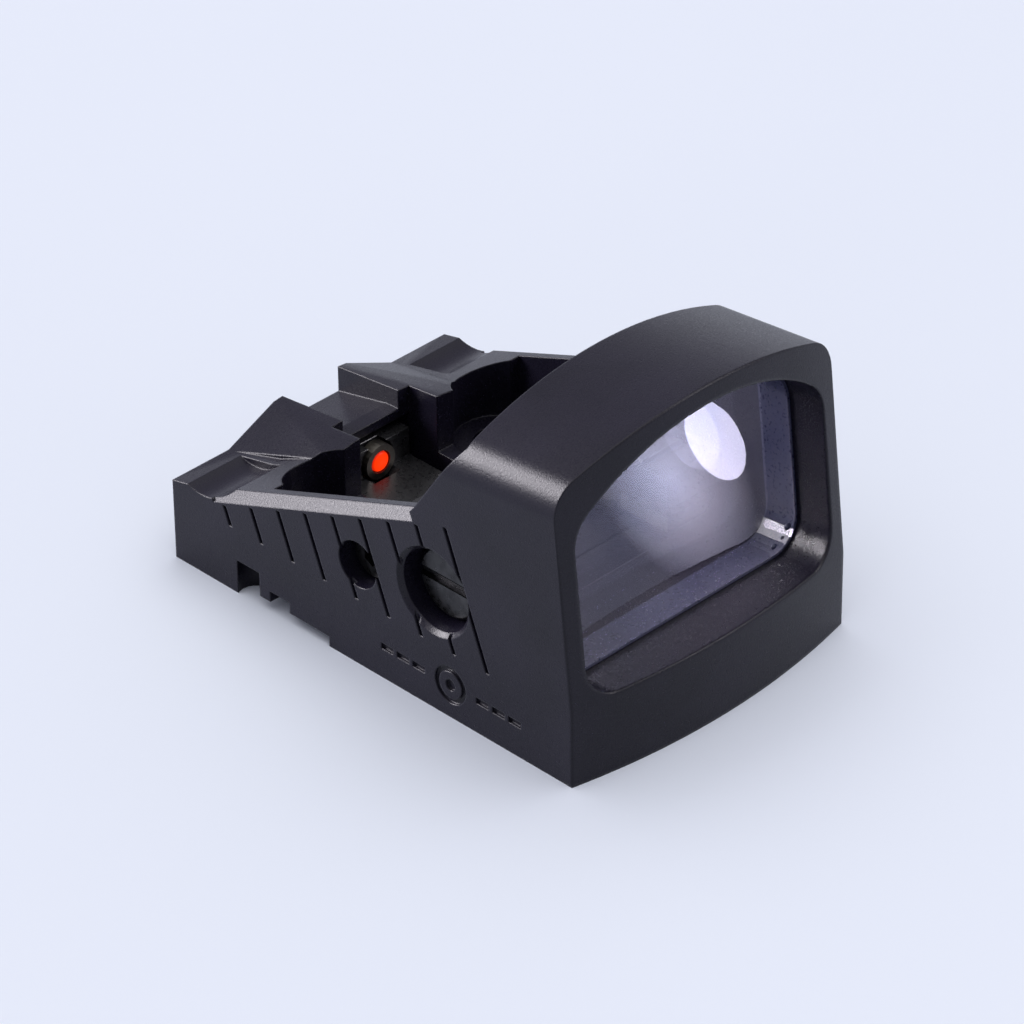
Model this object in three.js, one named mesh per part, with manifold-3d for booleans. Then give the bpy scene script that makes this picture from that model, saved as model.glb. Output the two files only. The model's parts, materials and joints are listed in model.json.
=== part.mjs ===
// Miniature reflex (red dot) sight, in millimetres, +Z up.
// The objective window faces -Y, the rear notch faces +Y, and the windage adjuster is on the -X side.
// The origin is the middle of the footprint, on the plane that the sight stands on.
import * as THREE from 'three';
import { mergeVertices } from 'three/addons/utils/BufferGeometryUtils.js';
import { ConvexGeometry } from 'three/addons/geometries/ConvexGeometry.js';
import Module from 'manifold-3d';

const wasm = await Module();
wasm.setup();

// ---- driving dimensions ----
const HALF_WIDTH = 13.5;
const FRONT_Y = -19.04;            // front face at its two side edges
const FRONT_BOW = 1.56;            // how far the middle of the front face stands ahead of that
const REAR_Y = 20.6;
const REAR_Z = 6.6;

const HOOD_TILT = THREE.MathUtils.degToRad(6.05);   // the hood leans back, square to its own front face
const HOOD_PIVOT_Z = 6.05;
const HOOD_TOP = 19.75;            // up the leaning face, from the pivot height
const HOOD_ARCH_RADIUS = 31;
const HOOD_SHOULDER = 3.0;
const HOOD_REAR_TOP_Y = -8.5;       // straight rear edge of the roof
const WINDOW_HALF_WIDTH = 12.15;
const WINDOW_BOTTOM = 0.35;
const WINDOW_TOP = 18.35;
const WINDOW_ARCH_RADIUS = 17.5;
const WINDOW_CORNER_TOP = 3.4;
const WINDOW_CORNER_BOTTOM = 2.6;

const RIM_REAR = [15.7, 7.75];     // deck rim, as [y, z] down the side of the sight
const RIM_FRONT = [-3.7, 15.3];
const RIM_CHAMFER = 0.78;
const HOOD_SLOPE_TOP = [-8.3, 22.0];
const SIDE_WALL = 1.4;
const WELL_FLOOR_Z = 5.0;
const WELL_FRONT_Y = -8.3;
const BLOCK_FRONT_Y = 11.4;        // front face of the rear block, behind the well

const NOTCH_HALF_WIDTH = 2.75;
const NOTCH_FLOOR_REAR_Z = 7.45;
const NOTCH_FLOOR_FRONT_Z = 8.1;
const HORN_REAR_Z = 8.7;
const HORN_FRONT_Z = 9.8;
const RECESS_HALF_WIDTH = 3.8;     // emitter recess in the rear block
const RECESS_REAR_Y = 14.3;

const MOUNT_X = 8.3;
const MOUNT_Y = 9.9;
const MOUNT_HOLE_RADIUS = 1.75;
const MOUNT_HEAD_RADIUS = 3.3;
const MOUNT_SEAT_Z = 4.6;

const WINDAGE = { y: -5.8, z: 9.65 };
const WINDAGE_HOLE_RADIUS = 3.15;
const WINDAGE_BORE_FLOOR_X = -10.75;
const WINDAGE_HEAD = { outer: -12.0, underside: -11.25, radius: 2.85 };
const BOSS_INNER_X = 9.9;
const LOCK = { y: 1.6, z: 8.4 };
const LOCK_HOLE_RADIUS = 1.85;
const LOCK_HOLE_FLOOR_X = 11.1;
const LOCK_SCREW = { outer: 12.1, step: 11.25, tip: 9.65, radius: 1.62 };
const ELEVATION = { x: 9.4, y: -5.8 };
const ELEVATION_BOSS = { bottom: 7.9, top: 10.4, seat: 9.05, radius: 2.4 };
const SHAFT_RADIUS = 1.1;
const SHAFT_HOLE_RADIUS = 1.35;
const SLOT_WIDTH = 0.7;
const SLIDE_TRAVEL = 0.35;         // each way from the middle, on both slides

const GROOVE_COUNT = 9;
const GROOVE_PITCH_Y = 2.78;
const GROOVE_BOTTOM_Z = 5.45;
const GROOVE_WIDTH = 0.34;
const GROOVE_DEPTH = 0.3;

const BATTERY = { y: -6, radius: 10, bottom: 0.95, height: 3.2 };
const COVER_RADIUS = 11.5;
const COVER_TONGUE_HALF_WIDTH = 4.8;
const COVER_REAR_Y = 19.2;
const COVER_TOP_Z = 0.6;
const COVER_EAR = { x: 9.5, y: 2.6, radius: 2 };
const BOARD = { halfWidth: 4.2, front: 6.2, rear: 18.9, bottom: 1.0, top: 1.7 };
const LED = { y: 13.7, z: 5.05, radius: 0.82 };
const SENSOR = { x: -1.5, y: 17.6 };
const LENS_DEPTH = 2.7;            // set back behind the front face
const LENS_FRONT_THICKNESS = 1.3;
const LENS_REAR_THICKNESS = 1.2;
const LENS_GAP = 0.12;
const MARK = { y: -7.4, z: 2.7, radius: 1.5, depth: 0.22 };

const ROUND = 32;                  // facets round a large hole
const SMALL_ROUND = 20;
const WIDE_ROUND = 48;             // facets round the battery and its cover

// ---- materials ----
const finish = (color, roughness, metalness) => (
  () => new THREE.MeshStandardMaterial({ color, roughness, metalness }));
const anodised = finish(0x1b1b1f, 0.42, 0.6);
const blackSteel = finish(0x232326, 0.38, 0.9);
const brightSteel = finish(0xb9bbbf, 0.28, 1.0);
const nickel = finish(0xc9c2b0, 0.3, 1.0);
const glass = finish(0x8d8fae, 0.05, 0.0);
const rubber = finish(0x0e0e0f, 0.9, 0.0);
const adhesive = finish(0x131316, 0.35, 0.0);
const moulded = finish(0x1d1d1f, 0.55, 0.0);
const board = finish(0x14301f, 0.5, 0.0);
const polyimide = finish(0xa5631b, 0.4, 0.0);
const redEmitter = finish(0xff2a08, 0.3, 0.0);
const clearPipe = finish(0xe9edf2, 0.2, 0.0);

// ---- solids ----
function toSolid(geometry) {
  const bare = geometry.index ? geometry.clone() : geometry;
  for (const name of Object.keys(bare.attributes)) {
    if (name !== 'position') bare.deleteAttribute(name);
  }
  const merged = mergeVertices(bare, 1e-5);
  return new wasm.Manifold(new wasm.Mesh({
    numProp: 3,
    vertProperties: new Float32Array(merged.attributes.position.array),
    triVerts: new Uint32Array(merged.index.array),
  }));
}

function toGeometry(solid) {
  const mesh = solid.getMesh();
  const geometry = new THREE.BufferGeometry();
  geometry.setAttribute('position', new THREE.BufferAttribute(new Float32Array(mesh.vertProperties), 3));
  geometry.setIndex(new THREE.BufferAttribute(new Uint32Array(mesh.triVerts), 1));
  geometry.computeVertexNormals();
  return geometry;
}

const joinAll = (solids) => solids.reduce((sum, solid) => sum.add(solid));
const cutAll = (solid, cuts) => cuts.reduce((rest, cut) => rest.subtract(cut), solid);

// Extrudes an outline along local z, then maps local x, y and z onto three world directions.
function prism(points, length, xTo, yTo, zTo, origin) {
  const outline = new THREE.Shape(points.map(([a, b]) => new THREE.Vector2(a, b)));
  const geometry = new THREE.ExtrudeGeometry(outline, { depth: length, bevelEnabled: false });
  const basis = new THREE.Matrix4().makeBasis(
    new THREE.Vector3(...xTo), new THREE.Vector3(...yTo), new THREE.Vector3(...zTo));
  return toSolid(geometry.applyMatrix4(basis.setPosition(...origin)));
}

const prismX = (points, x0, x1) => prism(points, x1 - x0, [0, 1, 0], [0, 0, 1], [1, 0, 0], [x0, 0, 0]);
const prismZ = (points, z0, z1) => prism(points, z1 - z0, [1, 0, 0], [0, 1, 0], [0, 0, 1], [0, 0, z0]);

function box(x0, x1, y0, y1, z0, z1) {
  const geometry = new THREE.BoxGeometry(x1 - x0, y1 - y0, z1 - z0);
  return toSolid(geometry.translate((x0 + x1) / 2, (y0 + y1) / 2, (z0 + z1) / 2));
}

// A revolved profile of [radius, height] points about the x, y or z axis through a point.
function turned(profile, axis, [x, y, z], facets = SMALL_ROUND) {
  const points = profile.map(([radius, height]) => new THREE.Vector2(radius, height));
  const geometry = new THREE.LatheGeometry(points, facets);
  if (axis === 'x') geometry.rotateZ(-Math.PI / 2);
  if (axis === 'z') geometry.rotateX(Math.PI / 2);
  return toSolid(geometry.translate(x, y, z));
}

// A plain cylinder between two places on its axis.
function rod(axis, radius, from, to, [x, y, z], facets = SMALL_ROUND) {
  const profile = [[0, from], [radius, from], [radius, to], [0, to]];
  return turned(profile, axis, [x, y, z], facets);
}

// A washer-like ring between two places on its axis.
function ring(axis, inner, outer, from, to, centre, facets = SMALL_ROUND) {
  const profile = [[inner, from], [outer, from], [outer, to], [inner, to], [inner, from]];
  return turned(profile, axis, centre, facets);
}

function arc(cx, cy, radius, from, to, steps) {
  const points = [];
  for (let i = 0; i <= steps; i += 1) {
    const angle = from + ((to - from) * i) / steps;
    points.push([cx + radius * Math.cos(angle), cy + radius * Math.sin(angle)]);
  }
  return points;
}

function torus(axis, radius, section, centre, facets = SMALL_ROUND) {
  const profile = arc(radius, 0, section, -Math.PI, Math.PI, 6);
  profile[6] = profile[0];
  return turned(profile, axis, centre, facets);
}

// The hood seen square to its front face: straight sides, an arched top and rounded corners.
function hoodOutline(halfWidth, top, archRadius, shoulder, bottom, corner) {
  const archY = top - archRadius;
  const shoulderX = halfWidth - shoulder;
  const shoulderY = archY + Math.sqrt((archRadius - shoulder) ** 2 - shoulderX ** 2);
  const turn = Math.atan2(shoulderY - archY, shoulderX);
  return [
    ...arc(halfWidth - corner, bottom + corner, corner, -Math.PI / 2, 0, 6),
    ...arc(shoulderX, shoulderY, shoulder, 0, turn, 8),
    ...arc(0, archY, archRadius, turn, Math.PI - turn, 20).slice(1, -1),
    ...arc(-shoulderX, shoulderY, shoulder, Math.PI - turn, Math.PI, 8),
    ...arc(-halfWidth + corner, bottom + corner, corner, Math.PI, 1.5 * Math.PI, 6),
  ];
}

const windowOutline = (inset) => hoodOutline(
  WINDOW_HALF_WIDTH - inset, WINDOW_TOP - inset, WINDOW_ARCH_RADIUS - inset,
  WINDOW_CORNER_TOP - inset, WINDOW_BOTTOM + inset, WINDOW_CORNER_BOTTOM - inset);

// The leaning frame of the hood: local y runs back along its axis, local z up its front face.
const sinTilt = Math.sin(HOOD_TILT);
const cosTilt = Math.cos(HOOD_TILT);
const hoodPrism = (points, depth0, depth1) => prism(
  points, depth1 - depth0, [1, 0, 0], [0, sinTilt, cosTilt], [0, -cosTilt, sinTilt],
  [0, FRONT_Y + depth1 * cosTilt, HOOD_PIVOT_Z - depth1 * sinTilt]);

// Footprint with its bowed front, drawn from `front` to well behind the sight.
function bowedFootprint(front) {
  const radius = (HALF_WIDTH ** 2 + FRONT_BOW ** 2) / (2 * FRONT_BOW);
  const half = Math.asin(HALF_WIDTH / radius);
  const bow = arc(0, front - FRONT_BOW + radius, radius, -Math.PI / 2 - half, -Math.PI / 2 + half, 24);
  const rear = front + 60;
  return [...bow, [HALF_WIDTH, rear], [-HALF_WIDTH, rear]];
}

const rimSlope = (RIM_FRONT[1] - RIM_REAR[1]) / (RIM_REAR[0] - RIM_FRONT[0]);
const rimZ = (y) => RIM_REAR[1] + (RIM_REAR[0] - y) * rimSlope;

// ---- housing ----
function housingBlank() {
  const above = 28;
  const sideView = prismX([
    [FRONT_Y - 6, 0], [REAR_Y, 0], [REAR_Y, REAR_Z], RIM_REAR, RIM_FRONT,
    [RIM_FRONT[0] - 0.4, RIM_FRONT[1] + 0.45], HOOD_SLOPE_TOP,
    [HOOD_REAR_TOP_Y, above], [FRONT_Y - 6, above],
  ], -HALF_WIDTH, HALF_WIDTH);
  const uprightFront = prismZ(bowedFootprint(FRONT_Y), -1, above);
  const leaningFront = prism(
    bowedFootprint(0), 2 * above, [1, 0, 0], [0, cosTilt, -sinTilt], [0, sinTilt, cosTilt],
    [0, FRONT_Y - above * sinTilt, HOOD_PIVOT_Z - above * cosTilt]);
  const arch = hoodPrism(
    hoodOutline(HALF_WIDTH, HOOD_TOP, HOOD_ARCH_RADIUS, HOOD_SHOULDER, -20, 0.01), -6, 45);
  return sideView.intersect(uprightFront).intersect(leaningFront).intersect(arch);
}

// One horn of the rear notch: a wedge that falls away to the side and grows out of the deck.
function horn(side) {
  const inner = side * NOTCH_HALF_WIDTH;
  const corners = [
    [inner, REAR_Y, REAR_Z - 1], [inner, REAR_Y, HORN_REAR_Z], [side * 3.6, REAR_Y, HORN_REAR_Z - 0.1],
    [side * 8.2, REAR_Y, REAR_Z - 0.05], [side * 8.2, REAR_Y, REAR_Z - 1],
    [inner, BLOCK_FRONT_Y, HORN_FRONT_Z], [side * 4.4, BLOCK_FRONT_Y, HORN_FRONT_Z - 0.1],
    [side * 6.8, BLOCK_FRONT_Y, rimZ(BLOCK_FRONT_Y) - 0.1], [inner, BLOCK_FRONT_Y, 7],
    [side * 6.8, BLOCK_FRONT_Y, 7],
  ];
  return toSolid(new ConvexGeometry(corners.map((corner) => new THREE.Vector3(...corner))));
}

// The bevel along the deck rim, as the wedge that it takes off.
function rimBevel(side) {
  const angle = Math.atan(rimSlope);
  const up = [0, Math.sin(angle), Math.cos(angle)];
  const forward = [0, -Math.cos(angle), Math.sin(angle)];
  const rear = [side * HALF_WIDTH, RIM_REAR[0] + 0.9, rimZ(RIM_REAR[0] + 0.9)];
  const front = [side * HALF_WIDTH, RIM_FRONT[0], RIM_FRONT[1]];
  const length = Math.hypot(rear[1] - front[1], rear[2] - front[2]);
  const reach = 1.2;
  const leg = RIM_CHAMFER + reach;
  const wedge = [[-RIM_CHAMFER, 0], [reach, -leg], [reach, reach], [-RIM_CHAMFER, reach]];
  if (side > 0) return prism(wedge, length, [1, 0, 0], up, forward, rear);
  const mirrored = wedge.map(([a, b]) => [-a, b]).reverse();
  return prism(mirrored, length, [1, 0, 0], up, forward, rear);
}

// Slanted grooves down both sides, square to the deck rim: they start just below its chamfer and
// all end at one height.
function sideGrooves(side) {
  const lean = rimSlope;
  const cuts = [];
  for (let k = 0; k < GROOVE_COUNT; k += 1) {
    const rimY = RIM_REAR[0] - 0.2 - k * GROOVE_PITCH_Y;
    const top = rimZ(rimY) - RIM_CHAMFER - 0.12;
    const topY = rimY + (top - rimZ(rimY)) * lean;
    const bottomY = topY - (top - GROOVE_BOTTOM_Z) * lean;
    const half = GROOVE_WIDTH / 2 / Math.cos(Math.atan(lean));
    const outline = [
      [bottomY - half, GROOVE_BOTTOM_Z], [bottomY + half, GROOVE_BOTTOM_Z],
      [topY + half, top], [topY - half, top],
    ];
    const outer = side * (HALF_WIDTH + 1);
    const inner = side * (HALF_WIDTH - GROOVE_DEPTH);
    cuts.push(prismX(outline, Math.min(inner, outer), Math.max(inner, outer)));
  }
  return joinAll(cuts);
}

// A plain engraved ring and dot with a row of short bars each side, low on the windage side.
function sideMark() {
  const outer = -HALF_WIDTH - 1;
  const inner = -HALF_WIDTH + MARK.depth;
  const centre = [0, MARK.y, MARK.z];
  const bars = [-4, -3, -2, 2, 3, 4].map((step) => {
    const y = MARK.y + step * 1.55;
    return box(outer, inner, y - 0.6, y + 0.6, MARK.z - 0.25, MARK.z + 0.25);
  });
  return joinAll([
    ring('x', MARK.radius - 0.4, MARK.radius, outer, inner, centre, ROUND),
    rod('x', 0.45, outer, inner, centre),
    ...bars,
  ]);
}

// The cover's outline in plan: a disc under the battery, a tongue to the rear and two screw ears.
function coverPlan(margin, z0, z1) {
  const tongue = COVER_TONGUE_HALF_WIDTH + margin;
  const ears = [-1, 1].map((side) => rod(
    'z', COVER_EAR.radius + margin, z0, z1, [side * COVER_EAR.x, COVER_EAR.y, 0]));
  return joinAll([
    rod('z', COVER_RADIUS + margin, z0, z1, [0, BATTERY.y, 0], WIDE_ROUND),
    box(-tongue, tongue, BATTERY.y, COVER_REAR_Y + margin, z0, z1),
    ...ears,
  ]);
}

function undersideCuts() {
  const cuts = [
    coverPlan(0.2, -1, COVER_TOP_Z + 0.05),
    rod('z', BATTERY.radius + 0.3, 0, 4.4, [0, BATTERY.y, 0], WIDE_ROUND),
    ring('z', 10.7, 11.35, 0, 1.15, [0, BATTERY.y, 0], WIDE_ROUND),
    box(-2.6, 2.6, 2, 5.7, 0, 4.4),
    box(-4.5, 4.5, 5, 19.1, 0, 1.9),
    box(-1.2, 1.2, 15.3, 15.8, 1.8, 2.5),
    rod('z', 0.64, 1.5, 9, [SENSOR.x, SENSOR.y, 0]),
  ];
  for (const side of [-1, 1]) {
    const [x0, x1] = side < 0 ? [-14, -10.6] : [10.6, 14];
    cuts.push(box(x0, x1, 4.7, 12.9, -1, 0.85));
    cuts.push(box(x0, x1, 8.7, 10.7, -1, 1.75));
    cuts.push(rod('z', 1.3, -1, 2.8, [side * 12.9, 12.9, 0]));
    cuts.push(rod('z', 1.3, -1, 2.8, [side * 11.2, -16.6, 0]));
    cuts.push(rod('z', MOUNT_HOLE_RADIUS, -1, 8, [side * MOUNT_X, MOUNT_Y, 0]));
    cuts.push(rod('z', 0.7, 0, 3.6, [side * COVER_EAR.x, COVER_EAR.y, 0]));
  }
  return joinAll(cuts);
}

// The open well behind the window, down to its floor, with the room the emitter's slides need.
function wellCuts() {
  const inner = HALF_WIDTH - SIDE_WALL;
  const top = 30;
  return joinAll([
    box(-inner, inner, WELL_FRONT_Y, BLOCK_FRONT_Y, WELL_FLOOR_Z, top),
    box(-RECESS_HALF_WIDTH, RECESS_HALF_WIDTH, 6.2, 15.8, 2.4, 7.1),
    box(-RECESS_HALF_WIDTH, RECESS_HALF_WIDTH, BLOCK_FRONT_Y - 1, RECESS_REAR_Y, 4, top),
    ...[-1, 1].map((side) => rod(
      'z', MOUNT_HEAD_RADIUS, MOUNT_SEAT_Z, top, [side * MOUNT_X, MOUNT_Y, 0], ROUND)),
  ]);
}

function bosses() {
  const inner = HALF_WIDTH - SIDE_WALL + 0.2;
  const windage = prismX([
    [-9.6, 4.8], [4.0, 4.8], [4.0, 10.9], [-1.6, 10.9], [-2.6, 13.3], [-9.6, 13.3],
  ], -inner, -BOSS_INNER_X);
  const elevation = box(ELEVATION.x - 2.7, inner, -8.6, -3, ELEVATION_BOSS.bottom, ELEVATION_BOSS.top);
  const elevationLock = box(BOSS_INNER_X, inner, -0.4, 4.0, 4.8, 10.9);
  return joinAll([windage, elevation, elevationLock]);
}

function adjusterHoles() {
  const windageAt = [0, WINDAGE.y, WINDAGE.z];
  const elevationAt = [ELEVATION.x, ELEVATION.y, 0];
  const mouth = 0.35;
  return joinAll([
    rod('x', WINDAGE_HOLE_RADIUS, -15, WINDAGE_BORE_FLOOR_X, windageAt, ROUND),
    turned([[0, -HALF_WIDTH - 1], [WINDAGE_HOLE_RADIUS + mouth + 1, -HALF_WIDTH - 1],
      [WINDAGE_HOLE_RADIUS, -HALF_WIDTH + mouth], [0, -HALF_WIDTH + mouth]], 'x', windageAt, ROUND),
    rod('x', SHAFT_HOLE_RADIUS, -12, -9, windageAt),
    rod('x', LOCK_HOLE_RADIUS, -15, -LOCK_HOLE_FLOOR_X, [0, LOCK.y, LOCK.z], ROUND),
    rod('x', SHAFT_HOLE_RADIUS, -13, -9, [0, LOCK.y, LOCK.z]),
    rod('x', LOCK_HOLE_RADIUS, LOCK_HOLE_FLOOR_X, 15, [0, LOCK.y, LOCK.z], ROUND),
    rod('x', SHAFT_HOLE_RADIUS, 9, 13, [0, LOCK.y, LOCK.z]),
    rod('z', ELEVATION_BOSS.radius, ELEVATION_BOSS.seat, 12, elevationAt, ROUND),
    rod('z', SHAFT_HOLE_RADIUS, 7, 10, elevationAt),
  ]);
}

function housing() {
  const tunnel = hoodPrism(windowOutline(0), -6, 14);
  const notch = prismX([
    [BLOCK_FRONT_Y - 1, NOTCH_FLOOR_FRONT_Z], [REAR_Y + 1, NOTCH_FLOOR_REAR_Z],
    [REAR_Y + 1, 12], [BLOCK_FRONT_Y - 1, 12],
  ], -NOTCH_HALF_WIDTH, NOTCH_HALF_WIDTH);
  const scoops = [-1, 1].map((side) => {
    const [x0, x1] = side < 0 ? [-15, -8.4] : [8.4, 15];
    return rod('x', 4, x0, x1, [0, 17.7, 10.75], 48);
  });
  const blank = joinAll([housingBlank(), horn(-1), horn(1)]);
  const hollow = cutAll(blank, [tunnel, wellCuts(), notch, ...scoops]);
  return cutAll(hollow.add(bosses()), [
    adjusterHoles(), undersideCuts(), rimBevel(-1), rimBevel(1), sideGrooves(-1), sideGrooves(1),
    sideMark(),
  ]);
}

// ---- optics ----
const lensFront = () => hoodPrism(windowOutline(0.35), LENS_DEPTH, LENS_DEPTH + LENS_FRONT_THICKNESS);

function lensRear() {
  const start = LENS_DEPTH + LENS_FRONT_THICKNESS + LENS_GAP;
  return hoodPrism(windowOutline(0.35), start, start + LENS_REAR_THICKNESS);
}

function lensSeal() {
  const outer = hoodPrism(windowOutline(0.05), LENS_DEPTH + 0.15, LENS_DEPTH + 2.9);
  return outer.subtract(hoodPrism(windowOutline(0.3), LENS_DEPTH, LENS_DEPTH + 4));
}

// ---- adjusters ----
function windageScrew() {
  const axis = [0, WINDAGE.y, WINDAGE.z];
  const { outer, underside, radius } = WINDAGE_HEAD;
  const body = turned([
    [0, outer], [radius - 0.25, outer], [radius, outer + 0.25], [radius, underside],
    [SHAFT_RADIUS, underside], [SHAFT_RADIUS, -6.6], [0, -6.6],
  ], 'x', axis, ROUND);
  const half = SLOT_WIDTH / 2;
  const slot = box(
    outer - 1, outer + 0.4, WINDAGE.y - 3.5, WINDAGE.y + 3.5, WINDAGE.z - half, WINDAGE.z + half);
  return body.subtract(slot);
}

function elevationScrew() {
  const axis = [ELEVATION.x, ELEVATION.y, 0];
  const head = ELEVATION_BOSS.top - 0.15;
  const underside = ELEVATION_BOSS.seat + 0.6;
  const body = turned([
    [0, 5.2], [SHAFT_RADIUS, 5.2], [SHAFT_RADIUS, underside], [2.15, underside],
    [2.15, head - 0.15], [2.0, head], [0, head],
  ], 'z', axis, ROUND);
  const half = SLOT_WIDTH / 2;
  const slot = box(
    ELEVATION.x - 3, ELEVATION.x + 3, ELEVATION.y - half, ELEVATION.y + half, head - 0.35, head + 1);
  return body.subtract(slot);
}

// A set screw with a hexagon socket and a thinner tip, along the x axis, tip inward.
function lockScrew(side) {
  const along = (radius, from, to, facets) => {
    const ends = side < 0 ? [-from, -to] : [to, from];
    return rod('x', radius, ...ends, [0, LOCK.y, LOCK.z], facets);
  };
  const { outer, step, tip, radius } = LOCK_SCREW;
  const head = along(radius, outer, step, ROUND);
  const shaft = along(SHAFT_RADIUS, step + 0.2, tip, SMALL_ROUND);
  return head.add(shaft).subtract(along(0.85, outer + 1, outer - 0.6, 6));
}

// A short coil spring round a shaft; wire is round and both ends are cut square.
class CoilPath extends THREE.Curve {
  constructor(radius, from, to, turns) {
    super();
    Object.assign(this, { radius, from, to, turns });
  }

  getPoint(t, target = new THREE.Vector3()) {
    const angle = t * this.turns * 2 * Math.PI;
    const height = this.from + (this.to - this.from) * t;
    return target.set(this.radius * Math.cos(angle), this.radius * Math.sin(angle), height);
  }
}

function coilSpring(from, to) {
  const section = arc(0, 0, 0.1, 0, 2 * Math.PI, 6).slice(0, -1);
  const wire = new THREE.Shape(section.map(([a, b]) => new THREE.Vector2(a, b)));
  const path = new CoilPath(1.6, from, to, 1.5);
  return new THREE.ExtrudeGeometry(wire, { steps: 28, extrudePath: path, bevelEnabled: false });
}

// ---- the emitter's two slides ----
// Windage slide: an arm from the windage screw, stepping down to a plate under the elevation slide.
function windageSlide() {
  const plan = prismZ([
    [-9.4, -8.1], [-7.0, -8.1], [-7.0, -3.4], [-0.6, 6.4], [-0.6, 7.6], [3.2, 7.6], [3.2, 13.2],
    [-3.2, 13.2], [-3.2, 6.8], [-9.4, -3.0],
  ], 0, 20);
  const sideView = prismX([
    [-9, 5.45], [6.5, 5.45], [6.5, 2.55], [14, 2.55], [14, 3.05], [7.1, 3.05], [7.1, 6.05], [-9, 6.05],
  ], -12, 12);
  const lug = box(-8.8, -7.1, -8.1, -3.5, 5.5, 11.9);
  const lockTab = box(-9.2, -8.5, 0.4, 2.8, 5.5, 9.7);
  const tabFoot = box(-9.2, -4.2, 0.4, 2.8, 5.45, 6.05);
  const thread = rod('x', SHAFT_HOLE_RADIUS, -12, -5, [0, WINDAGE.y, WINDAGE.z]);
  return joinAll([plan.intersect(sideView), lug, tabFoot, lockTab]).subtract(thread);
}

// Elevation slide: an arm from the elevation screw to the block that carries the emitter.
function elevationSlide() {
  const plan = prismZ([
    [11.4, -3.0], [3.2, 6.8], [3.2, 15.4], [-3.2, 15.4], [-3.2, 8.6], [0.6, 8.6], [0.6, 6.2], [7.3, -3.4],
    [7.3, -8.1], [11.4, -8.1],
  ], 0, 20);
  const sideView = prismX([
    [-9, 5.45], [7.6, 5.45], [7.6, 3.6], [16, 3.6], [16, 6.4], [LED.y, 6.4], [LED.y, 4.1], [8.2, 4.1],
    [8.2, 6.05], [-9, 6.05],
  ], -12, 12);
  const lug = box(7.3, 11.4, -8.1, -3.5, 5.5, 6.75);
  const lockTab = box(8.5, 9.2, 0.4, 2.8, 5.5, 9.7);
  const tabFoot = box(4.2, 9.2, 0.4, 2.8, 5.45, 6.05);
  const screwRoom = rod(
    'z', SHAFT_RADIUS + SLIDE_TRAVEL + 0.15, 4, 9, [ELEVATION.x, ELEVATION.y, 0]);
  const holderBore = rod('y', 1.6, LED.y - 1, LED.y + 0.9, [0, 0, LED.z]);
  const arm = joinAll([plan.intersect(sideView), lug, tabFoot, lockTab]);
  return arm.subtract(joinAll([screwRoom, holderBore]));
}

const ledHolder = () => turned([
  [LED.radius + 0.1, LED.y - 0.35], [1.4, LED.y - 0.35], [1.4, LED.y + 0.6], [0, LED.y + 0.6],
  [0, LED.y + 0.2], [LED.radius + 0.1, LED.y + 0.2], [LED.radius + 0.1, LED.y - 0.35],
], 'y', [0, 0, LED.z]);

const ledEmitter = () => turned([
  [0, LED.y - 0.5], [LED.radius * 0.6, LED.y - 0.42], [LED.radius, LED.y - 0.2],
  [LED.radius, LED.y + 0.1], [0, LED.y + 0.1],
], 'y', [0, 0, LED.z]);

// ---- electronics ----
const circuitBoard = () => box(
  -BOARD.halfWidth, BOARD.halfWidth, BOARD.front, BOARD.rear, BOARD.bottom, BOARD.top);
const controlChip = () => box(-1.6, 1.6, 9.2, 12.0, 0.72, BOARD.bottom - 0.03);
const lightSensor = () => box(
  SENSOR.x - 0.42, SENSOR.x + 0.42, SENSOR.y - 0.42, SENSOR.y + 0.42, BOARD.top + 0.03, 2.25);

const lightPipe = () => turned([
  [0, 2.4], [0.5, 2.4], [0.5, 7.5], [0.35, 7.62], [0, 7.68],
], 'z', [SENSOR.x, SENSOR.y, 0]);

// A thin printed strip: a foot on the board, then straight up behind the emitter's block.
const flexLead = () => prismX([
  [15.5, 1.73], [16.6, 1.73], [16.6, 1.85], [15.62, 1.85], [15.62, 5.2], [15.5, 5.2],
], -0.9, 0.9);

function battery() {
  const { y, radius, bottom, height } = BATTERY;
  return turned([
    [0, bottom], [8.6, bottom], [8.8, bottom + 0.25], [9.2, bottom + 0.25], [9.3, bottom + 0.1],
    [radius - 0.2, bottom + 0.1], [radius, bottom + 0.3], [radius, bottom + height - 0.25],
    [radius - 0.25, bottom + height], [0, bottom + height],
  ], 'z', [0, y, 0], WIDE_ROUND);
}

function contactPositive() {
  const edge = BATTERY.y + BATTERY.radius;
  return prismX([
    [edge + 0.08, 3.4], [edge + 0.08, 1.75], [7.4, 1.75], [7.4, 1.88], [edge + 0.22, 1.88],
    [edge + 0.22, 3.4],
  ], 0.6, 2.3);
}

function contactNegative() {
  const top = BATTERY.bottom + BATTERY.height;
  return prismX([
    [-5, top + 0.06], [4.9, top + 0.06], [4.9, 1.75], [7.4, 1.75], [7.4, 1.88], [5.04, 1.88],
    [5.04, top + 0.19], [-5, top + 0.19],
  ], -2.3, -0.6);
}

// ---- cover ----
function batteryCover() {
  const plate = coverPlan(0, 0.1, COVER_TOP_Z);
  const screwHoles = [-1, 1].map((side) => turned([
    [0, -1], [1.75, -1], [1.55, 0.1], [1.0, COVER_TOP_Z + 0.05], [1.0, 2], [0, 2],
  ], 'z', [side * COVER_EAR.x, COVER_EAR.y, 0]));
  const coinSlot = box(-3, 3, BATTERY.y - 0.6, BATTERY.y + 0.6, -1, 0.3);
  const grips = [-2, -1, 0, 1, 2].map((k) => box(-3, 3, 14 + k * 1.2 - 0.25, 14 + k * 1.2 + 0.25, -1, 0.3));
  return cutAll(plate, [...screwHoles, coinSlot, ...grips]);
}

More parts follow.
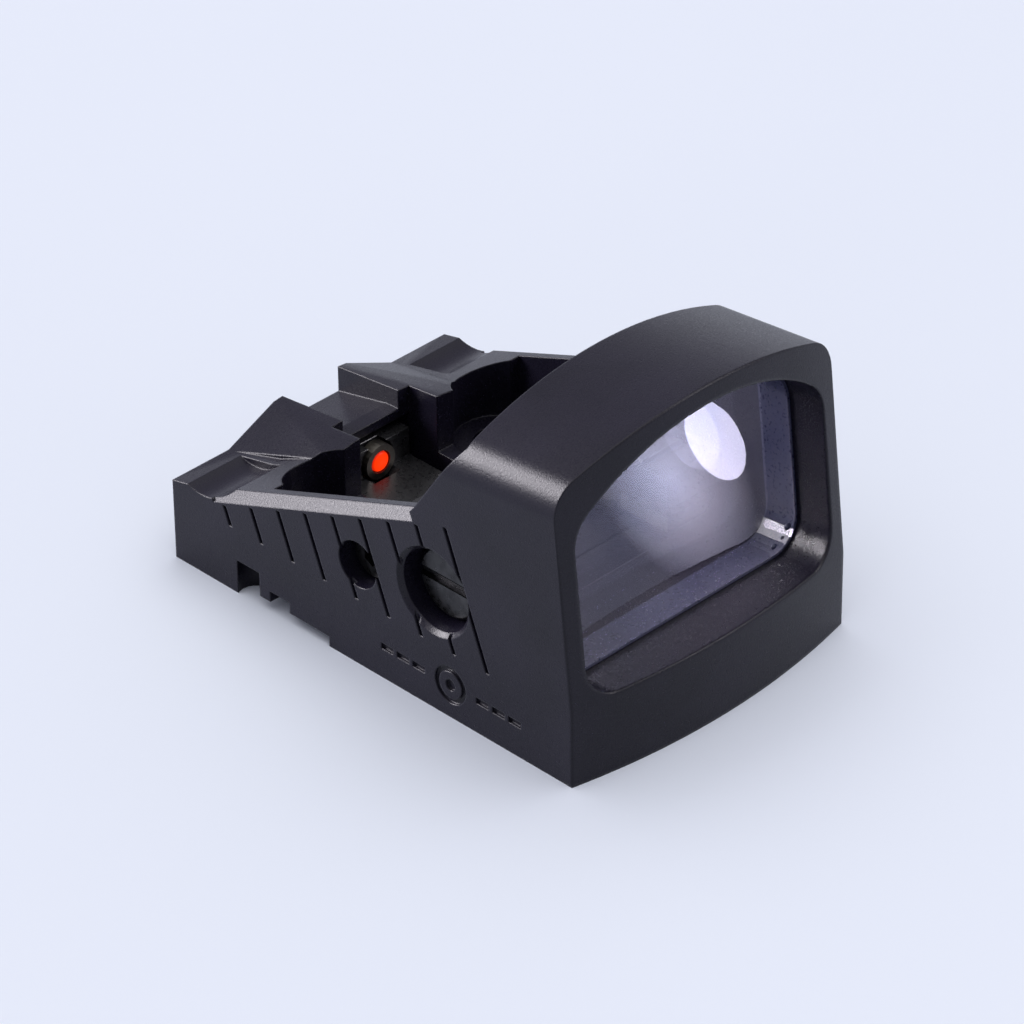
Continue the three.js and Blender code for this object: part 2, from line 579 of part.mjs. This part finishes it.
function coverScrew(side) {
  const body = turned([
    [0, 0.12], [1.4, 0.12], [0.6, 0.7], [0.6, 3.2], [0, 3.2],
  ], 'z', [side * COVER_EAR.x, COVER_EAR.y, 0]);
  const socket = rod('z', 0.45, -1, 0.45, [side * COVER_EAR.x, COVER_EAR.y, 0], 6);
  return body.subtract(socket);
}

// ---- assembly ----
const sight = new THREE.Group();

function addSolid(name, solid, material) {
  const mesh = new THREE.Mesh(toGeometry(solid), material());
  mesh.name = name;
  sight.add(mesh);
  return mesh;
}

addSolid('housing', housing(), anodised);

addSolid('lens_front_element', lensFront(), glass);
addSolid('lens_rear_element', lensRear(), glass);
addSolid('lens_seal', lensSeal(), adhesive);

addSolid('windage_slide', windageSlide(), moulded);
addSolid('windage_screw', windageScrew(), blackSteel);
addSolid('windage_o_ring', torus('x', 1.75, 0.22, [-11.0, WINDAGE.y, WINDAGE.z]), rubber);
addSolid('windage_clip', ring('x', 1.22, 2.1, -9.82, -9.6, [0, WINDAGE.y, WINDAGE.z]), brightSteel);
addSolid('windage_lock_screw', lockScrew(-1), blackSteel);

addSolid('elevation_slide', elevationSlide(), moulded);
addSolid('elevation_screw', elevationScrew(), blackSteel);
addSolid('elevation_o_ring', torus('z', 1.62, 0.25, [ELEVATION.x, ELEVATION.y, 9.35]), rubber);
addSolid('elevation_clip', ring('z', 1.22, 2.0, 7.6, 7.82, [ELEVATION.x, ELEVATION.y, 0]), brightSteel);
addSolid('elevation_lock_screw', lockScrew(1), blackSteel);

const windageSpring = new THREE.Mesh(coilSpring(0, 0.42), brightSteel());
windageSpring.name = 'windage_spring';
windageSpring.rotation.y = Math.PI / 2;
windageSpring.position.set(-9.42, WINDAGE.y, WINDAGE.z);
sight.add(windageSpring);

const elevationSpring = new THREE.Mesh(coilSpring(0, 0.42), brightSteel());
elevationSpring.name = 'elevation_spring';
elevationSpring.position.set(ELEVATION.x, ELEVATION.y, 6.95);
sight.add(elevationSpring);

addSolid('led_holder', ledHolder(), nickel);
addSolid('led_emitter', ledEmitter(), redEmitter);
addSolid('led_flex_lead', flexLead(), polyimide);
addSolid('circuit_board', circuitBoard(), board);
addSolid('control_chip', controlChip(), moulded);
addSolid('light_sensor', lightSensor(), moulded);
addSolid('sensor_light_pipe', lightPipe(), clearPipe);
addSolid('battery', battery(), brightSteel);
addSolid('battery_contact_positive', contactPositive(), nickel);
addSolid('battery_contact_negative', contactNegative(), nickel);

addSolid('battery_cover', batteryCover(), anodised);
addSolid('cover_seal', torus('z', 11.03, 0.22, [0, BATTERY.y, 0.89], WIDE_ROUND), rubber);
addSolid('cover_screw_left', coverScrew(1), blackSteel);
addSolid('cover_screw_right', coverScrew(-1), blackSteel);

export default sight;
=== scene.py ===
"""Looks of the miniature reflex sight: materials, rounded edges, small trim, floor, light and camera."""

import json
import math
import random

import bmesh
import bpy
from mathutils import Matrix, Vector


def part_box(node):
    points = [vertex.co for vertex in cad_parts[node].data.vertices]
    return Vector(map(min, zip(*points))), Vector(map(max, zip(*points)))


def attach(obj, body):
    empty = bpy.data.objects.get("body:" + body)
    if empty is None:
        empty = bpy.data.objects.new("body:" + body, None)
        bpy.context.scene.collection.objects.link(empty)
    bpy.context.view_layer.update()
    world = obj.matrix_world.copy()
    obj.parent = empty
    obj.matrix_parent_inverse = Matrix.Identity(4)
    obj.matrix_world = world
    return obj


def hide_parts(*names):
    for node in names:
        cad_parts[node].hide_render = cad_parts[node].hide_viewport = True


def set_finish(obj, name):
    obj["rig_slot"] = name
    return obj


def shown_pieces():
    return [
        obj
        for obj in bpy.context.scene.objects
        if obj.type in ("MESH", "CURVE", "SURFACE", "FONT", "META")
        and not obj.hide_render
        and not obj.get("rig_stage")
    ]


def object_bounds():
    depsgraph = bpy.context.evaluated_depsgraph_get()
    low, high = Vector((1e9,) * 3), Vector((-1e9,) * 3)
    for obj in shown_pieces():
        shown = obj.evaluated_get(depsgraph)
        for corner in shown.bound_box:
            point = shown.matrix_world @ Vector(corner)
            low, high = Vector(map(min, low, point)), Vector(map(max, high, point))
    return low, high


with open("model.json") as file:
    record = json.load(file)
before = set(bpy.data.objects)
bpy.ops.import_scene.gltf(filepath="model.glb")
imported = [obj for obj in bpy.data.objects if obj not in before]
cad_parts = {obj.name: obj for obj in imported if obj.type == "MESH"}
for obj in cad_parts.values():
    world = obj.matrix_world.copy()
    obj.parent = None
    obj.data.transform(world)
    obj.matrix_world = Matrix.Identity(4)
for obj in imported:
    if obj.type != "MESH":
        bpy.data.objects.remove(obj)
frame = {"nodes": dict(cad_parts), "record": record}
cad_low, cad_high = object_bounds()
nodes = frame["nodes"]
record = frame["record"]
body_of_node = {n: body for body, names in record["behaviour"]["bodies"].items() for n in names}
slot_of_node = {part["node"]: part["material_slot"] for part in record["subparts"]}

MM = 0.001

# ---- camera ----
CAMERA_AZIMUTH = math.radians(-44.73)
CAMERA_ELEVATION = math.radians(33.95)
CAMERA_ROLL = -0.0102
CAMERA_TARGET = Vector((-5.556, -5.54, 12.282)) * MM
CAMERA_DISTANCE = 391.9 * MM
CAMERA_LENS = 201.33                        # mm
SENSOR_WIDTH = 36                           # mm

# ---- edge rounding ----
BLAST_EDGE = 0.18 * MM
FRONT_EDGE = 0.42 * MM
FRONT_ZONE = 2.2 * MM                       # depth behind the front face that has the larger radius
FRONT_ZONE_END = FRONT_ZONE * 1.3
BEVEL_SAMPLES = 8
SMALL_EDGE = 0.06 * MM
SHORTEST_ROUNDED = 0.2 * MM
CREASE_ANGLE = math.radians(28)
WELD_DISTANCE = 0.002 * MM
CORNER_WELD_DISTANCE = 0.001 * MM
FLAT_ANGLE = math.radians(0.6)
DOME_FACETS = (10, 40)
DOME_FULLNESS = 0.4                         # under 1 makes the dome squarer

# ---- softboxes: name, place (m), size (m), power (W) ----
SOFTBOX_AIM = Vector((0, 0, 0.012))
SOFTBOX_COLOUR = (0.98, 0.94, 1.0)
SKY_STRENGTH = 2.22
SOFTBOXES = [
    ("rear_softbox", Vector((-0.225, 0.385, 0.215)), (0.34, 0.30), 6.0),
    ("front_softbox", Vector((0.26, -0.25, 0.275)), (0.20, 0.20), 1.1),
]

# ---- panels that light nothing but the front lens, placed to be seen mirrored in it from this camera only:
# name, place across and up the lens (mm), size (mm), power (W), soft ----
REFLECTED_PANEL_DISTANCE = 24 * MM
REFLECTED_PANEL_COLOUR = (0.93, 0.96, 1.0)
OVAL_LEAN = Vector((-0.484, 0.875, 0))      # long axis of the ovals, in the camera's own frame
LENS_REFLECTIONS = [
    ("lens_lamp", 4.5, 17.8, (3.7, 6.3), 0.00086, False),
    ("lens_glow", 0.3, 16.6, (10.5, 16), 0.0041, True),
]

# ---- beads of squeezed-out adhesive on the lens face: place across and up the lens, radius (mm) ----
ADHESIVE_BEADS = [(10.9, 8.1, 0.3), (9.4, 7.2, 0.24), (10.3, 7.5, 0.15)]
BEAD_FLATNESS = 0.6
BEAD_UNEVENNESS = 0.06

# ---- surface scales, as texture cycles per metre ----
BLAST_GRAIN = 7500
FINE_GRAIN = 14000
SOFT_PATCH = 160
TURNING_RINGS = 5200
METAL_MOTTLE = 900
MOULD_TEXTURE = 4200
COATING_CLOUDS = 70
GLASS_SMEAR = 600
BOARD_TRACKS = 900
BOARD_GRAIN = 2500
PIPE_HAZE = 1800
FLOOR_HAZE = 9

# ---- surface values ----
ANODISED_SPECULAR = 0.21
TURNING_DEPTH = 0.004 * MM
MOULD_DEPTH = 0.006 * MM
COATING_SHARE = 0.07                        # part of the light that the lens's front face mirrors
UNCOATED_SHARE = 0.2                        # how much of that share the other faces keep
COATING_DEPTH = (0.1 * MM, 0.3 * MM)        # depths at which that share starts and stops fading
EMITTER_STRENGTH = 1.05
# strength of the light pipe's painted glow; the pipe holds no lamp
PIPE_PAINTED_GLOW = 0.03
FLOOR_SIZE = 6


def make_camera():
    """The photo's view, as solved from the housing's straight edges."""
    azimuth, elevation = CAMERA_AZIMUTH, CAMERA_ELEVATION
    back = Vector((
        math.sin(azimuth) * math.cos(elevation),
        -math.cos(azimuth) * math.cos(elevation),
        math.sin(elevation)))
    right = Vector((math.cos(azimuth), math.sin(azimuth), 0))
    up = back.cross(right)
    turned_right = math.cos(CAMERA_ROLL) * right + math.sin(CAMERA_ROLL) * up
    turned_up = math.cos(CAMERA_ROLL) * up - math.sin(CAMERA_ROLL) * right
    data = bpy.data.cameras.new("photo_view")
    data.lens = CAMERA_LENS
    data.sensor_width = SENSOR_WIDTH
    data.clip_start = 0.01
    data.clip_end = 20
    camera = bpy.data.objects.new("photo_view", data)
    rotation = Matrix((turned_right, turned_up, back)).transposed().to_4x4()
    camera.matrix_world = Matrix.Translation(CAMERA_TARGET + back * CAMERA_DISTANCE) @ rotation
    bpy.context.scene.collection.objects.link(camera)
    bpy.context.scene.camera = camera


def lens_front_face():
    """The lens's large outer face, which faces the front of the sight."""
    faces = (p for p in nodes["lens_front_element"].data.polygons if p.normal.y < -0.9)
    return max(faces, key=lambda p: p.area)


def on_lens_face(across, height):
    """The point of the lens's front face at that place across and that height."""
    face = lens_front_face()
    normal, spot = face.normal, face.center
    depth = spot.y - (normal.x * (across - spot.x) + normal.z * (height - spot.z)) / normal.y
    return Vector((across, depth, height))


# ---- material building blocks ----
def new_material(name):
    material = bpy.data.materials.new(name)
    material.use_nodes = True
    tree = material.node_tree
    shader = tree.nodes["Principled BSDF"]
    coordinates = tree.nodes.new("ShaderNodeTexCoord").outputs["Object"]
    return material, tree, shader, coordinates


def noise(tree, coordinates, scale, detail=3.0, stretch=(1, 1, 1)):
    if stretch != (1, 1, 1):
        mapping = tree.nodes.new("ShaderNodeMapping")
        mapping.inputs["Scale"].default_value = stretch
        tree.links.new(coordinates, mapping.inputs["Vector"])
        coordinates = mapping.outputs["Vector"]
    texture = tree.nodes.new("ShaderNodeTexNoise")
    texture.inputs["Scale"].default_value = scale
    texture.inputs["Detail"].default_value = detail
    tree.links.new(coordinates, texture.inputs["Vector"])
    return texture.outputs["Fac"]


def ramp(tree, value, stops):
    """A colour ramp over the value, with stops of (place, colour)."""
    node = tree.nodes.new("ShaderNodeValToRGB")
    elements = node.color_ramp.elements
    while len(elements) < len(stops):
        elements.new(0.5)
    for element, (place, colour) in zip(elements, stops):
        element.position = place
        element.color = (*colour, 1)
    tree.links.new(value, node.inputs["Fac"])
    return node.outputs["Color"]


def spread(tree, value, low, high):
    """Stretches a noise value over the range from low to high."""
    node = tree.nodes.new("ShaderNodeMapRange")
    node.inputs["From Min"].default_value = 0.3
    node.inputs["From Max"].default_value = 0.7
    node.inputs["To Min"].default_value = low
    node.inputs["To Max"].default_value = high
    tree.links.new(value, node.inputs["Value"])
    return node.outputs["Result"]


def bump(tree, shader, heights, normal=None):
    """Adds bump layers, each a (height output, depth in metres)."""
    for height, depth in heights:
        node = tree.nodes.new("ShaderNodeBump")
        node.inputs["Strength"].default_value = 1.0
        node.inputs["Distance"].default_value = depth
        tree.links.new(height, node.inputs["Height"])
        if normal is not None:
            tree.links.new(normal, node.inputs["Normal"])
        normal = node.outputs["Normal"]
    tree.links.new(normal, shader.inputs["Normal"])


def rounded_edges(tree, coordinates):
    """Shades edges as rounded, with a larger radius close behind the front face."""
    split = tree.nodes.new("ShaderNodeSeparateXYZ")
    tree.links.new(coordinates, split.inputs["Vector"])
    radius = tree.nodes.new("ShaderNodeMapRange")
    radius.inputs["From Min"].default_value = cad_low.y + FRONT_ZONE
    radius.inputs["From Max"].default_value = cad_low.y + FRONT_ZONE_END
    radius.inputs["To Min"].default_value = FRONT_EDGE
    radius.inputs["To Max"].default_value = BLAST_EDGE
    tree.links.new(split.outputs["Y"], radius.inputs["Value"])
    rounded = tree.nodes.new("ShaderNodeBevel")
    rounded.samples = BEVEL_SAMPLES
    tree.links.new(radius.outputs["Result"], rounded.inputs["Radius"])
    return rounded.outputs["Normal"]


def blasted_anodised(name, dark, light, roughness, grain_depth):
    """Black anodising over bead-blasted aluminium: fine even grain and faint cloudy patches."""
    material, tree, shader, at = new_material(name)
    grain = noise(tree, at, BLAST_GRAIN, 2.0)
    patches = noise(tree, at, SOFT_PATCH, 4.0)
    tree.links.new(ramp(tree, patches, [(0.3, dark), (0.7, light)]), shader.inputs["Base Color"])
    tree.links.new(spread(tree, grain, roughness - 0.05, roughness + 0.07), shader.inputs["Roughness"])
    shader.inputs["Specular IOR Level"].default_value = ANODISED_SPECULAR
    fine = noise(tree, at, FINE_GRAIN, 2.0)
    bump(tree, shader, [(grain, grain_depth), (fine, grain_depth * 0.4)], rounded_edges(tree, at))
    return material


def turned_metal(name, dark, light, roughness, axis_scale):
    """Lathe-turned metal: very fine rings along one axis, with a slight mottling."""
    material, tree, shader, at = new_material(name)
    shader.inputs["Metallic"].default_value = 1.0
    rings = noise(tree, at, TURNING_RINGS, 2.0, axis_scale)
    mottle = noise(tree, at, METAL_MOTTLE, 3.0)
    tree.links.new(ramp(tree, mottle, [(0.3, dark), (0.7, light)]), shader.inputs["Base Color"])
    tree.links.new(spread(tree, rings, roughness - 0.06, roughness + 0.1), shader.inputs["Roughness"])
    bump(tree, shader, [(rings, TURNING_DEPTH)])
    return material


def moulded(name, dark, light, roughness, relief=MOULD_DEPTH):
    """A moulded, rubber or adhesive surface: soft fine texture."""
    material, tree, shader, at = new_material(name)
    texture = noise(tree, at, MOULD_TEXTURE, 3.0)
    tree.links.new(ramp(tree, texture, [(0.35, dark), (0.65, light)]), shader.inputs["Base Color"])
    tree.links.new(spread(tree, texture, roughness - 0.05, roughness + 0.06), shader.inputs["Roughness"])
    if relief:
        bump(tree, shader, [(texture, relief)])
    return material


def coated_glass(name, near, far, roughness):
    """A part-mirror: the coated front face reflects a tinted share of the light, the other faces little."""
    material, tree, shader, at = new_material(name)
    clouds = noise(tree, at, COATING_CLOUDS, 2.0)
    tree.links.new(ramp(tree, clouds, [(0.35, near), (0.65, far)]), shader.inputs["Base Color"])
    smear = noise(tree, at, GLASS_SMEAR, 2.0)
    tree.links.new(spread(tree, smear, roughness, roughness * 2), shader.inputs["Roughness"])
    shader.inputs["Metallic"].default_value = 1.0
    face = lens_front_face()
    depth = tree.nodes.new("ShaderNodeVectorMath")
    depth.operation = "DOT_PRODUCT"
    depth.inputs[1].default_value = -face.normal
    tree.links.new(at, depth.inputs[0])
    share = tree.nodes.new("ShaderNodeMapRange")
    front = -face.normal.dot(face.center)
    share.inputs["From Min"].default_value = front + COATING_DEPTH[0]
    share.inputs["From Max"].default_value = front + COATING_DEPTH[1]
    share.inputs["To Min"].default_value = COATING_SHARE
    share.inputs["To Max"].default_value = COATING_SHARE * UNCOATED_SHARE
    tree.links.new(depth.outputs["Value"], share.inputs["Value"])
    tree.links.new(share.outputs["Result"], shader.inputs["Alpha"])
    return material


def laminate(name):
    """Green solder resist with lighter copper tracks showing through it."""
    material, tree, shader, at = new_material(name)
    tracks = tree.nodes.new("ShaderNodeTexBrick")
    tracks.inputs["Scale"].default_value = BOARD_TRACKS
    tracks.inputs["Mortar Size"].default_value = 0.03
    tracks.inputs["Color1"].default_value = (0.012, 0.07, 0.03, 1)
    tracks.inputs["Color2"].default_value = (0.015, 0.085, 0.035, 1)
    tracks.inputs["Mortar"].default_value = (0.05, 0.17, 0.06, 1)
    tree.links.new(at, tracks.inputs["Vector"])
    tree.links.new(tracks.outputs["Color"], shader.inputs["Base Color"])
    grain = noise(tree, at, BOARD_GRAIN)
    tree.links.new(spread(tree, grain, 0.3, 0.45), shader.inputs["Roughness"])
    return material


def lit_emitter(name, centre, radius):
    """The lit emitter: orange-red in the middle, deeper red at its rim."""
    material, tree, shader, at = new_material(name)
    offset = tree.nodes.new("ShaderNodeVectorMath")
    offset.operation = "DISTANCE"
    offset.inputs[1].default_value = centre
    tree.links.new(at, offset.inputs[0])
    share = tree.nodes.new("ShaderNodeMath")
    share.operation = "DIVIDE"
    share.inputs[1].default_value = radius
    tree.links.new(offset.outputs["Value"], share.inputs[0])
    glow = ramp(tree, share.outputs["Value"], [
        (0.0, (1.0, 0.05, 0.004)), (0.84, (1.0, 0.038, 0.002)), (0.94, (0.7, 0.018, 0.002)),
        (1.0, (0.4, 0.01, 0.002))])
    tree.links.new(glow, shader.inputs["Emission Color"])
    shader.inputs["Base Color"].default_value = (0.02, 0.002, 0.001, 1)
    shader.inputs["Emission Strength"].default_value = EMITTER_STRENGTH
    shader.inputs["Specular IOR Level"].default_value = 0.1
    shader.inputs["Roughness"].default_value = 0.4
    return material


def clear_pipe(name):
    """The sensor's light pipe: hazy clear plastic, with a faint painted glow, though no lamp lights it from
    inside.
    """
    material, tree, shader, at = new_material(name)
    haze = noise(tree, at, PIPE_HAZE, 2.0)
    tint = ramp(tree, haze, [(0.3, (0.42, 0.44, 0.48)), (0.7, (0.55, 0.57, 0.6))])
    tree.links.new(tint, shader.inputs["Base Color"])
    shader.inputs["Roughness"].default_value = 0.2
    shader.inputs["IOR"].default_value = 1.49
    # painted glow: a faint emission that brightens the pipe, which holds no lamp
    shader.inputs["Emission Color"].default_value = (0.7, 0.78, 0.9, 1)
    shader.inputs["Emission Strength"].default_value = PIPE_PAINTED_GLOW
    return material


def make_materials():
    led_low, led_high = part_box("led_emitter")
    led_centre = (led_low + led_high) / 2
    led_radius = (led_high.x - led_low.x) / 2
    along_x, along_z = (6, 0.4, 0.4), (0.4, 0.4, 6)
    return {
        "anodised_aluminium": blasted_anodised(
            "anodised_aluminium", (0.0036, 0.0032, 0.0068), (0.006, 0.0052, 0.0105), 0.3, 0.012 * MM),
        "cover_aluminium": blasted_anodised(
            "cover_aluminium", (0.009, 0.009, 0.010), (0.013, 0.013, 0.015), 0.42, 0.004 * MM),
        "coated_glass": coated_glass("coated_glass", (0.55, 0.56, 0.78), (0.66, 0.60, 0.78), 0.012),
        "optical_adhesive": moulded(
            "optical_adhesive", (0.016, 0.018, 0.042), (0.024, 0.026, 0.056), 0.3, 0.0),
        "black_steel": turned_metal("black_steel", (0.035, 0.035, 0.038), (0.07, 0.07, 0.074), 0.3, along_x),
        "bright_steel": turned_metal("bright_steel", (0.5, 0.5, 0.51), (0.64, 0.64, 0.65), 0.24, along_z),
        "battery_steel": turned_metal("battery_steel", (0.6, 0.6, 0.61), (0.74, 0.74, 0.75), 0.26, along_z),
        "nickel_brass": turned_metal("nickel_brass", (0.13, 0.12, 0.11), (0.2, 0.185, 0.16), 0.35, along_x),
        "black_moulding": moulded("black_moulding", (0.008, 0.008, 0.009), (0.014, 0.014, 0.015), 0.3),
        "rubber": moulded("rubber", (0.006, 0.006, 0.006), (0.012, 0.012, 0.012), 0.7),
        "circuit_laminate": laminate("circuit_laminate"),
        "polyimide": moulded("polyimide", (0.35, 0.12, 0.02), (0.5, 0.19, 0.035), 0.3),
        "emitter_red": lit_emitter("emitter_red", led_centre, led_radius),
        "clear_acrylic": clear_pipe("clear_acrylic"),
    }


# ---- pieces ----
def link(name, mesh):
    piece = bpy.data.objects.new(name, mesh)
    bpy.context.scene.collection.objects.link(piece)
    return piece


def stands_for(piece, node):
    """Puts the piece in the CAD node's place, with its slot and on its body."""
    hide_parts(node)
    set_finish(piece, slot_of_node[node])
    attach(piece, body_of_node[node])


def refined(node, name, edge=0.0):
    """A clean copy of a CAD node's shape, with sharp edges rounded by edge, which stands for that node."""
    shape = bmesh.new()
    shape.from_mesh(nodes[node].data)
    bmesh.ops.remove_doubles(shape, verts=shape.verts, dist=WELD_DISTANCE)
    bmesh.ops.dissolve_limit(
        shape, angle_limit=FLAT_ANGLE, use_dissolve_boundaries=False, verts=shape.verts, edges=shape.edges)
    if edge:
        edges = [
            e for e in shape.edges
            if e.is_manifold and e.calc_length() > SHORTEST_ROUNDED and e.calc_face_angle(0) > CREASE_ANGLE]
        bmesh.ops.bevel(
            shape, geom=edges, offset=edge, offset_type="OFFSET", segments=2, profile=0.5,
            affect="EDGES", clamp_overlap=False)
        bmesh.ops.remove_doubles(shape, verts=shape.verts, dist=CORNER_WELD_DISTANCE)
    for face in shape.faces:
        face.smooth = True
    for e in shape.edges:
        e.smooth = not e.is_manifold or e.calc_face_angle(0) < CREASE_ANGLE
    mesh = bpy.data.meshes.new(name)
    shape.to_mesh(mesh)
    shape.free()
    piece = link(name, mesh)
    weighted = piece.modifiers.new("even_normals", "WEIGHTED_NORMAL")
    weighted.keep_sharp = True
    stands_for(piece, node)


def led_dome():
    """The emitter as a rounded lens facing the window, closed by a flat back."""
    low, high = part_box("led_emitter")
    centre, radius, depth = (low + high) / 2, (high.x - low.x) / 2, high.y - low.y
    rings, sides = DOME_FACETS
    shape = bmesh.new()
    tip = shape.verts.new((centre.x, low.y, centre.z))
    loops = []
    for i in range(1, rings + 1):
        lean = math.pi / 2 * i / rings
        reach = radius * math.sin(lean)
        y = low.y + depth * (1 - math.cos(lean) ** DOME_FULLNESS)
        loops.append([
            shape.verts.new((
                centre.x + reach * math.cos(2 * math.pi * k / sides), y,
                centre.z + reach * math.sin(2 * math.pi * k / sides)))
            for k in range(sides)])
    for k in range(sides):
        after = (k + 1) % sides
        shape.faces.new((tip, loops[0][after], loops[0][k]))
        for inner, outer in zip(loops, loops[1:]):
            shape.faces.new((inner[k], inner[after], outer[after], outer[k]))
    shape.faces.new(loops[-1])
    bmesh.ops.recalc_face_normals(shape, faces=shape.faces)
    for face in shape.faces:
        face.smooth = len(face.verts) < sides
    mesh = bpy.data.meshes.new("led_dome")
    shape.to_mesh(mesh)
    shape.free()
    stands_for(link("led_dome", mesh), "led_emitter")


def adhesive_bead(across, height, radius):
    """A small uneven drop lying on the lens's front face."""
    random.seed(int(across / MM * 10))
    shape = bmesh.new()
    bmesh.ops.create_icosphere(shape, subdivisions=3, radius=radius)
    squash = Vector((random.uniform(0.9, 1.15), BEAD_FLATNESS, random.uniform(0.85, 1.1)))
    for v in shape.verts:
        v.co = v.co * squash * (1 + BEAD_UNEVENNESS * math.sin(v.co.x / radius * 3 + across / MM))
        v.co += on_lens_face(across, height)
    for face in shape.faces:
        face.smooth = True
    name = "adhesive_bead_%d" % round(radius / MM * 100)
    mesh = bpy.data.meshes.new(name)
    shape.to_mesh(mesh)
    shape.free()
    bead = link(name, mesh)
    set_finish(bead, "optical_adhesive")
    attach(bead, "sight_body")


def make_floor():
    bpy.ops.mesh.primitive_plane_add(size=FLOOR_SIZE, location=(0, 0, 0))
    floor = bpy.context.object
    floor.name = "floor"
    material, tree, shader, at = new_material("pale_floor")
    haze = noise(tree, at, FLOOR_HAZE, 2.0)
    tint = ramp(tree, haze, [(0.3, (0.80, 0.84, 0.93)), (0.7, (0.82, 0.86, 0.95))])
    tree.links.new(tint, shader.inputs["Base Color"])
    shader.inputs["Roughness"].default_value = 0.6
    floor.data.materials.append(material)
    floor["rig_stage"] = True


def panel_light(name, place, turn, size, power, colour, receivers, soft=False):
    """An oval panel that lights only the receivers; a soft one fades from its middle to its rim."""
    data = bpy.data.lights.new(name, "AREA")
    data.shape = "ELLIPSE"
    data.size, data.size_y = size
    data.energy = power
    data.color = colour
    if soft:
        data.use_nodes = True
        tree = data.node_tree
        parametric = tree.nodes.new("ShaderNodeNewGeometry").outputs["Parametric"]
        offset = tree.nodes.new("ShaderNodeVectorMath")
        offset.operation = "DISTANCE"
        offset.inputs[1].default_value = (0.5, 0.5, 0)
        tree.links.new(parametric, offset.inputs[0])
        stops = [(0.0, (1, 1, 1)), (0.28, (0.4, 0.4, 0.4)), (0.5, (0, 0, 0))]
        fade = ramp(tree, offset.outputs["Value"], stops)
        tree.links.new(fade, tree.nodes["Emission"].inputs["Strength"])
    light = bpy.data.objects.new(name, data)
    light.location = place
    light.rotation_mode = "QUATERNION"
    light.rotation_quaternion = turn
    bpy.context.scene.collection.objects.link(light)
    lit_only = bpy.data.collections.new(name + "_receivers")
    for piece in receivers:
        lit_only.objects.link(piece)
    light.light_linking.receiver_collection = lit_only


def seen_in_lens(across, height):
    """Place and turn of a panel whose reflection the camera sees at that point of the lens's front face."""
    normal = lens_front_face().normal.copy()
    point = on_lens_face(across, height)
    view = bpy.context.scene.camera.matrix_world
    sight = (point - view.translation).normalized()
    mirrored = sight - 2 * sight.dot(normal) * normal
    tall = (view.to_3x3() @ OVAL_LEAN).normalized()
    tall -= 2 * tall.dot(normal) * normal
    wide = tall.cross(mirrored).normalized()
    tall = mirrored.cross(wide)
    turn = Matrix((wide, tall, mirrored)).transposed().to_quaternion()
    return point + mirrored * REFLECTED_PANEL_DISTANCE, turn


def make_light():
    """An even sky that is brightest overhead, two softboxes, and the panels mirrored in the lens."""
    world = bpy.data.worlds.new("studio")
    bpy.context.scene.world = world
    world.use_nodes = True
    tree = world.node_tree
    at = tree.nodes.new("ShaderNodeTexCoord").outputs["Generated"]
    split = tree.nodes.new("ShaderNodeSeparateXYZ")
    tree.links.new(at, split.inputs["Vector"])
    sky = ramp(tree, split.outputs["Z"], [
        (0.0, (0.55, 0.57, 0.63)), (0.12, (0.40, 0.41, 0.47)), (0.32, (0.18, 0.18, 0.21)),
        (0.68, (0.22, 0.22, 0.25)), (1.0, (1.0, 1.0, 1.0))])
    background = tree.nodes["Background"]
    tree.links.new(sky, background.inputs["Color"])
    background.inputs["Strength"].default_value = SKY_STRENGTH
    for name, place, size, power in SOFTBOXES:
        turn = (SOFTBOX_AIM - place).to_track_quat("-Z", "Y")
        panel_light(name, place, turn, size, power, SOFTBOX_COLOUR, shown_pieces())
    lens = [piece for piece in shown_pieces() if piece.name == "lens_front_element"]
    for name, across, height, size, power, soft in LENS_REFLECTIONS:
        place, turn = seen_in_lens(across * MM, height * MM)
        size = [side * MM for side in size]
        panel_light(name, place, turn, size, power, REFLECTED_PANEL_COLOUR, lens, soft)


scene = bpy.context.scene
scene.view_settings.view_transform = "Standard"
make_camera()
materials = make_materials()

refined("housing", "housing_shell")
for node in ("battery_cover", "windage_slide", "elevation_slide", "windage_screw", "elevation_screw"):
    refined(node, node + "_shell", SMALL_EDGE)
led_dome()
for across, height, radius in ADHESIVE_BEADS:
    adhesive_bead(across * MM, height * MM, radius * MM)

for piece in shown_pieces():
    slot = slot_of_node.get(piece.name) or piece.get("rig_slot")
    piece.data.materials.clear()
    piece.data.materials.append(materials[slot])

make_floor()
make_light()
